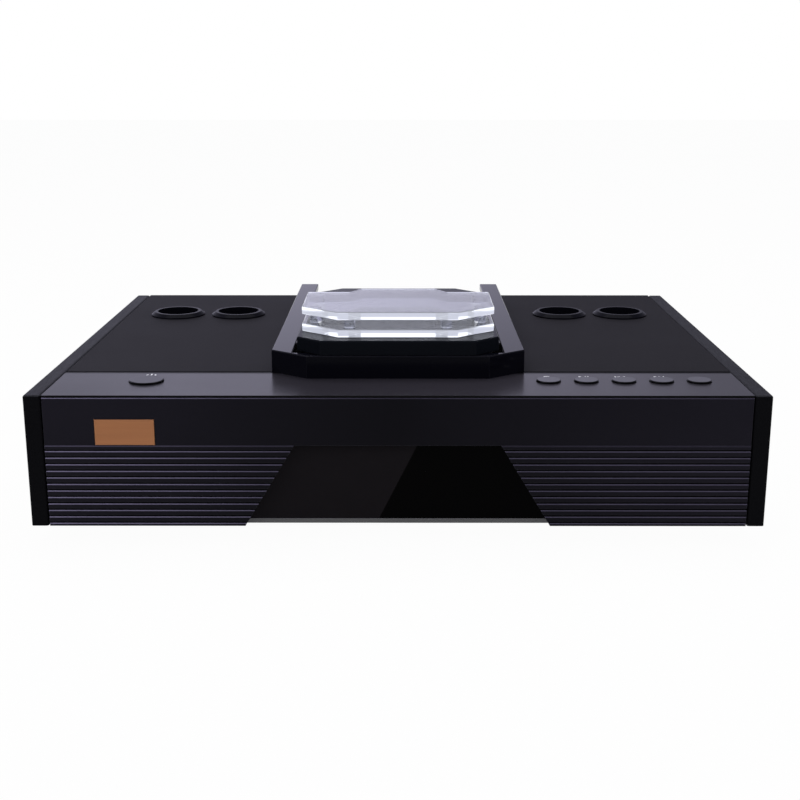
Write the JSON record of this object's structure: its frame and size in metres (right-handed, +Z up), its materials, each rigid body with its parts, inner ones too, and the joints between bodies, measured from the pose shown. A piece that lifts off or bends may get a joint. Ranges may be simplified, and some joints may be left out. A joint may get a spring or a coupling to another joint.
{
  "type": "top-loading disc player",
  "caption": "Low hi-fi disc player with a grooved front, thick side plates, top vents over valves, and a clear-gripped door that slides back over a disc well.",
  "frame": {"origin": "centre of the overall box's underside, on the plane the feet stand on", "axes": "+X to the right seen from the front, -Y out of the front panel, +Z up"},
  "size_m": [0.43, 0.344, 0.1295],
  "materials": {
    "black_anodised": "brushed black anodised",
    "satin_anodised": "bead-blasted satin black anodised",
    "black_sheet": "fine textured black powder coat",
    "gloss_black": "polished black anodised",
    "smoked_window": "polished smoked acrylic",
    "satin_sill": "satin grey",
    "copper_plate": "satin copper-coloured plate",
    "clear_acrylic": "clear polished acrylic",
    "bright_steel": "zinc plated steel",
    "machined_aluminium": "machined",
    "rubber_black": "matt",
    "nylon_white": "moulded nylon",
    "black_plastic": "moulded plastic",
    "circuit_board": "solder-masked laminate",
    "ceramic": "glazed ceramic",
    "valve_glass": "blown glass",
    "display_glass": "sealed display tube",
    "winding": "taped copper winding over a steel core",
    "brass_gear": "machined brass",
    "lens_glass": "coated lens",
    "gold_plate": "gold plated",
    "capacitor_sleeve": "shrunk sleeve over an aluminium can"
  },
  "bodies": {
    "case": {"back_panel": "black_sheet", "badge_plate": "copper_plate", "base_tray": "black_sheet", "bay_deck": "black_plastic", "bay_frame": "gloss_black", "board_standoffs": "brass_gear", "case_screws": "bright_steel", "control_strip": "satin_anodised", "converter_board": "circuit_board", "display_board": "circuit_board", "display_tube": "display_glass", "display_window": "smoked_window", "feet": "satin_anodised", "foot_pads": "rubber_black", "front_panel": "satin_anodised", "guide_rods": "bright_steel", "key_switches": "black_plastic", "mains_inlet": "black_plastic", "mech_chassis": "bright_steel", "rear_jacks": "gold_plate", "regulator_heatsink": "machined_aluminium", "side_plate_left": "black_anodised", "side_plate_right": "black_anodised", "sled_motor": "bright_steel", "smoothing_capacitors": "capacitor_sleeve", "spindle_motor": "bright_steel", "supply_board": "circuit_board", "suspension_grommets": "rubber_black", "suspension_posts": "bright_steel", "switch_boards": "circuit_board", "top_cover": "black_sheet", "transformer": "winding", "transformer_clamp": "bright_steel", "transformer_pad": "rubber_black", "tube_sockets": "ceramic", "vacuum_tubes": "valve_glass", "valve_boards": "circuit_board", "vent_ring_1": "satin_anodised", "vent_ring_2": "satin_anodised", "vent_ring_3": "satin_anodised", "vent_ring_4": "satin_anodised", "window_sill": "satin_sill"},
    "door": {"door_plate": "gloss_black", "door_runners": "black_plastic", "door_lower_glass": "clear_acrylic", "door_upper_glass": "clear_acrylic", "door_glass_posts": "clear_acrylic"},
    "spindle": {"spindle_shaft": "bright_steel", "spindle_hub": "machined_aluminium", "disc_clamp": "machined_aluminium"},
    "sled": {"pickup_sled": "black_plastic", "pickup_lens": "lens_glass"},
    "drive_gear": {"drive_gear": "nylon_white"},
    "motor_pinion": {"motor_pinion": "brass_gear"},
    "power_button": {"power_button": "satin_anodised"},
    "control_button_1": {"control_button_1": "satin_anodised"},
    "control_button_2": {"control_button_2": "satin_anodised"},
    "control_button_3": {"control_button_3": "satin_anodised"},
    "control_button_4": {"control_button_4": "satin_anodised"},
    "control_button_5": {"control_button_5": "satin_anodised"}
  },
  "joints": [
    {"name": "door_slide", "type": "slide", "parent": "case", "child": "door", "axis": [0, 1, 0], "range_m": [0, 0.134]},
    {"name": "spindle_spin", "type": "hinge", "parent": "case", "child": "spindle", "pos_m": [0, -0.058, 0.0932], "axis": [0, 0, 1], "continuous": true},
    {"name": "sled_slide", "type": "slide", "parent": "case", "child": "sled", "axis": [0, 1, 0], "range_m": [0, 0.034]},
    {"name": "drive_gear_spin", "type": "hinge", "parent": "case", "child": "drive_gear", "pos_m": [0.03705, -0.017, 0.08], "axis": [0, 0, 1], "range_deg": [-557.7, 0]},
    {"name": "motor_pinion_spin", "type": "hinge", "parent": "case", "child": "motor_pinion", "pos_m": [0.04311, -0.02793, 0.08], "axis": [0, 0, 1], "range_deg": [0, 2230.8]},
    {"name": "power_button_press", "type": "slide", "parent": "case", "child": "power_button", "axis": [0, 0, -1], "range_m": [0, 0.0015], "stiffness_N_per_m": 400, "springref_m": -0.001},
    {"name": "control_button_1_press", "type": "slide", "parent": "case", "child": "control_button_1", "axis": [0, 0, -1], "range_m": [0, 0.0015], "stiffness_N_per_m": 400, "springref_m": -0.001},
    {"name": "control_button_2_press", "type": "slide", "parent": "case", "child": "control_button_2", "axis": [0, 0, -1], "range_m": [0, 0.0015], "stiffness_N_per_m": 400, "springref_m": -0.001},
    {"name": "control_button_3_press", "type": "slide", "parent": "case", "child": "control_button_3", "axis": [0, 0, -1], "range_m": [0, 0.0015], "stiffness_N_per_m": 400, "springref_m": -0.001},
    {"name": "control_button_4_press", "type": "slide", "parent": "case", "child": "control_button_4", "axis": [0, 0, -1], "range_m": [0, 0.0015], "stiffness_N_per_m": 400, "springref_m": -0.001},
    {"name": "control_button_5_press", "type": "slide", "parent": "case", "child": "control_button_5", "axis": [0, 0, -1], "range_m": [0, 0.0015], "stiffness_N_per_m": 400, "springref_m": -0.001}
  ],
  "couplings": [
    {"joint": "drive_gear_spin", "follows": "sled_slide", "rad_per_m": -285.71},
    {"joint": "motor_pinion_spin", "follows": "sled_slide", "rad_per_m": 1142.9}
  ]
}
